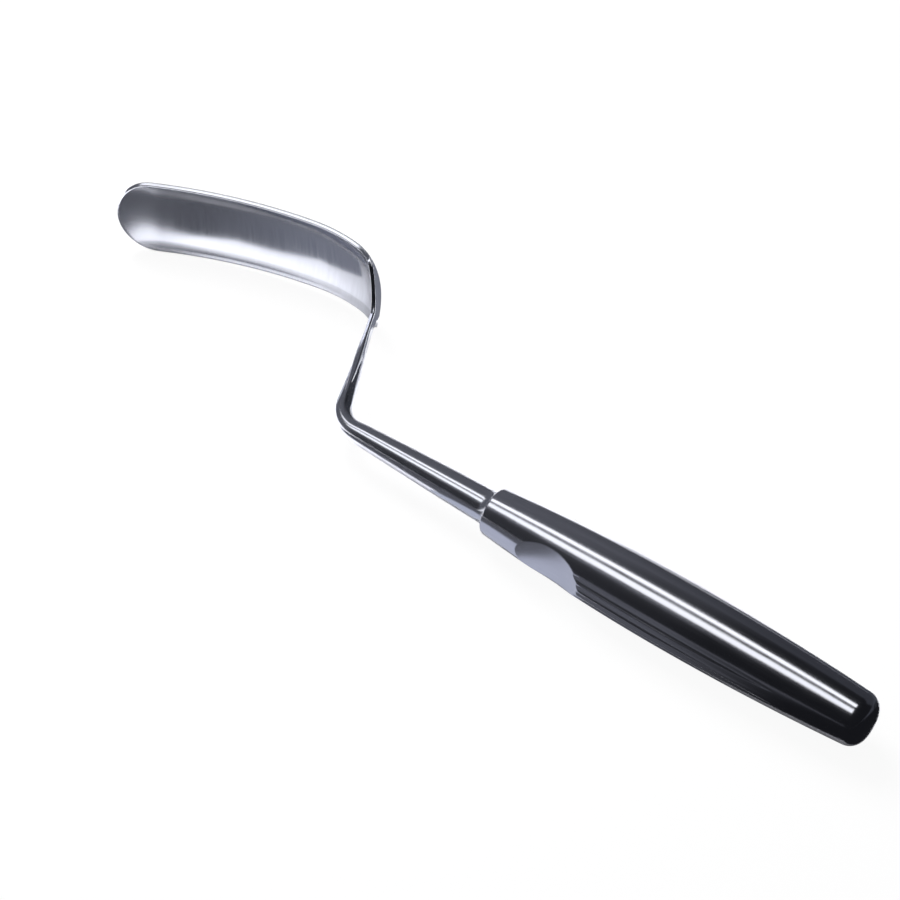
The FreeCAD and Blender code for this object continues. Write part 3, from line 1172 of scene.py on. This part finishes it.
@dataclass
class Studio:
    """White table with glowing sheets of painted reflection and painted shade that only the steel sees,
    soft boxes overhead in a dim room whose walls are a painted reflection, and the camera.
    """

    azimuth: float = 38.82
    elevation: float = 44.5
    lean: float = 2.32
    distance: float = 700.0
    pixels_per_mm: float = 3.42
    aim: tuple[float, float, float] = (-25.03, 11.25, 0.0)
    pixel_offset: float = 0.5
    table_size: float = 60.0
    table_colour: tuple[float, float, float, float] = (0.88, 0.88, 0.9, 1.0)
    table_whiteness: float = 0.94
    table_whiteness_in_steel: float = 0.05
    room_size: float = 6.0
    wall_foot: float = -0.01
    # Tints of the painted reflections' glow at the butt's end and at the blade's end
    butt_tint: tuple[float, float, float, float] = (0.9, 0.94, 1.1, 1.0)
    blade_tint: tuple[float, float, float, float] = (0.93, 0.95, 1.07, 1.0)
    even_light: float = 0.05
    lamps: tuple[SoftBox, ...] = (
        SoftBox("near_soft_box", (-0.34, -0.405, 0.8), (1.1, 0.28), 1.5),
        SoftBox("far_soft_box", (-0.34, -0.036, 0.8), (1.1, 0.16), 1.8),
        SoftBox("key_soft_box", (-0.3, 0.12, 0.42), (0.35, 0.35), 15.0, mirrored=False),
    )
    # Glowing sheets of painted reflection and painted shade on the table, seen only in the steel
    painted_reflections: tuple[PaintedReflection, ...] = (POCKET_PAINTED_LIGHT, HANDLE_PAINTED_SHADE, BLADE_PAINTED_SHADOW, HEEL_PAINTED_REFLECTION, FAR_PAINTED_REFLECTION)

    def camera(self, origin: Vector, laying: Laying) -> None:
        """Stand the camera where the photograph was taken from.

        Args:
            origin: Where the profile's origin lies, in metres.
            laying: How the instrument lies.
        """
        azimuth, elevation = math.radians(self.azimuth), math.radians(self.elevation)
        toward = Vector((
            math.sin(azimuth) * math.cos(elevation),
            -math.cos(azimuth) * math.cos(elevation),
            math.sin(elevation),
        ))
        right = Vector((math.cos(azimuth), math.sin(azimuth), 0.0))
        up = toward.cross(right)
        turn = laying.turn() @ Matrix.Rotation(-math.radians(self.lean), 3, "X")
        toward, right, up = turn @ toward, turn @ right, turn @ up
        place = origin + turn @ (Vector(self.aim) * MM) + toward * (self.distance * MM)
        matrix = Matrix((right, up, toward)).transposed().to_4x4()
        matrix.translation = place
        data = bpy.data.cameras.new("camera")
        data.sensor_width = 36.0
        data.lens = self.distance * self.pixels_per_mm * data.sensor_width / IMAGE_WIDTH
        data.shift_x = -self.pixel_offset / IMAGE_WIDTH
        data.shift_y = self.pixel_offset / IMAGE_WIDTH
        data.clip_end = 100.0
        thing = put_in_scene("camera", data)
        thing.matrix_world = matrix
        bpy.context.scene.camera = thing

    def surface(
        self, name: str, corners: list, faces: list, material: bpy.types.Material
    ) -> bpy.types.Object:
        """Make a plain surface of the studio, which isn't part of the object.

        Args:
            name: The surface's name.
            corners: Places in metres.
            faces: Loops of corner numbers.
            material: Its paint.

        Returns:
            The surface.
        """
        mesh = bpy.data.meshes.new(name)
        mesh.from_pydata(corners, [], faces)
        mesh.materials.append(material)
        thing = put_in_scene(name, mesh)
        return thing

    def for_mirrors_only(self, thing: bpy.types.Object) -> None:
        """Let a surface show in the steel and nowhere else."""
        thing.visible_camera = False
        thing.visible_diffuse = False
        thing.visible_shadow = False

    def table(self) -> None:
        """Lay the white table, which stays white to the camera but keeps the shadow."""
        material, graph = new_material("white_table")
        seen, mirrored, through = light_path(graph)
        paint = graph.add("ShaderNodeBsdfDiffuse", {}, {"Color": self.table_colour})
        white = graph.add("ShaderNodeEmission", {}, {"Color": (1.0, 1.0, 1.0, 1.0), "Strength": 1.0})
        share = seen * self.table_whiteness + through * self.table_whiteness
        share = share + mirrored * self.table_whiteness_in_steel
        lit = graph.add("ShaderNodeMixShader", {}, {0: share, 1: paint.outputs[0], 2: white.outputs[0]})
        graph.add("ShaderNodeOutputMaterial", {}, {"Surface": lit.outputs[0]})
        half = self.table_size / 2
        corners = [(-half, -half, 0.0), (half, -half, 0.0), (half, half, 0.0), (-half, half, 0.0)]
        self.surface("table", corners, [(0, 1, 2, 3)], material)

    def painted_reflection_glow(
        self, name: str, butt_glow: float, blade_glow: float, fade: tuple[float, float] = ROOM_FADE
    ) -> bpy.types.Material:
        """Make a cool dim glow, seen only in the steel as a painted reflection, whose level changes along
        the room.

        Args:
            name: The material's name.
            butt_glow: Radiance at the butt's end.
            blade_glow: Radiance at the blade's end.
            fade: Places along the room where the change starts and ends, in metres.

        Returns:
            The material.
        """
        material, graph = new_material(name)
        place = graph.add("ShaderNodeTexCoord").outputs["Object"]
        along = graph.value(graph.add("ShaderNodeSeparateXYZ", {}, {0: place}), "X")
        change = graph.smooth(along, *fade)
        # The glow is a painted reflection, not a lamp: two tints of emission blended along the room
        first = graph.add("ShaderNodeEmission", {}, {"Color": self.butt_tint, "Strength": butt_glow})
        second = graph.add("ShaderNodeEmission", {}, {"Color": self.blade_tint, "Strength": blade_glow})
        inputs = {0: change, 1: first.outputs[0], 2: second.outputs[0]}
        blend = graph.add("ShaderNodeMixShader", {}, inputs)
        graph.add("ShaderNodeOutputMaterial", {}, {"Surface": blend.outputs[0]})
        return material

    def walls(self) -> None:
        """Stand the dim glowing walls and ceiling round the table, seen only in the steel: a painted
        reflection of a dim room, darker towards the butt.
        """
        half = self.room_size / 2
        corners = []
        for z in (self.wall_foot, half):
            corners.extend([(-half, -half, z), (half, -half, z), (half, half, z), (-half, half, z)])
        faces = [(0, 1, 5, 4), (1, 2, 6, 5), (2, 3, 7, 6), (3, 0, 4, 7), (4, 5, 6, 7)]
        # Painted reflection of the room: the walls glow darker at the butt's end than at the blade's end
        for name, chosen, butt_glow, blade_glow in (
            ("front_wall", faces[:1], 0.012, 0.04),
            ("back_wall", faces[2:3], 0.05, 0.13),
            ("side_walls_and_ceiling", faces[1:2] + faces[3:], 0.012, 0.13),
        ):
            paint = self.painted_reflection_glow(name + "_paint", butt_glow, blade_glow)
            self.for_mirrors_only(self.surface(name, corners, chosen, paint))

    def lay(self, card: PaintedReflection) -> None:
        """Lay a glowing sheet of painted reflection or painted shade on the table, seen only in the steel.
        """
        paint = self.painted_reflection_glow(card.name + "_paint", card.butt_glow, card.blade_glow, card.fade)
        corners = [(x, y, card.height * MM) for x, y in card.outline]
        thing = self.surface(card.name + "_card", corners, [tuple(range(len(corners)))], paint)
        self.for_mirrors_only(thing)

    def surroundings(self) -> None:
        """White surroundings for the camera and the steel, and low even light for the rest."""
        world = bpy.data.worlds.new("surroundings")
        world.use_nodes = True
        graph = Graph(world.node_tree)
        seen, mirrored, through = light_path(graph)
        white = graph.most(graph.most(seen, mirrored), through)
        level = white * (1.0 - self.even_light) + self.even_light
        sky = graph.add("ShaderNodeBackground", {}, {"Color": (1.0, 1.0, 1.0, 1.0), "Strength": level})
        graph.add("ShaderNodeOutputWorld", {}, {"Surface": sky.outputs[0]})
        bpy.context.scene.world = world

    def build(self, origin: Vector, laying: Laying) -> None:
        """Set the whole studio up.

        Args:
            origin: Where the profile's origin lies, in metres.
            laying: How the instrument lies.
        """
        self.camera(origin, laying)
        self.table()
        self.walls()
        for card in self.painted_reflections:
            self.lay(card)
        self.surroundings()
        for lamp in self.lamps:
            lamp.hang()
        bpy.context.scene.view_settings.view_transform = "Standard"
        LOG.info("studio: %d lamps", len(self.lamps))


def main() -> None:
    """Build the instrument and its studio."""
    logging.basicConfig(level=logging.INFO)
    instrument = Instrument()
    origin = instrument.build()
    Studio().build(origin, instrument.laying)


if __name__ == "__main__":
    main()
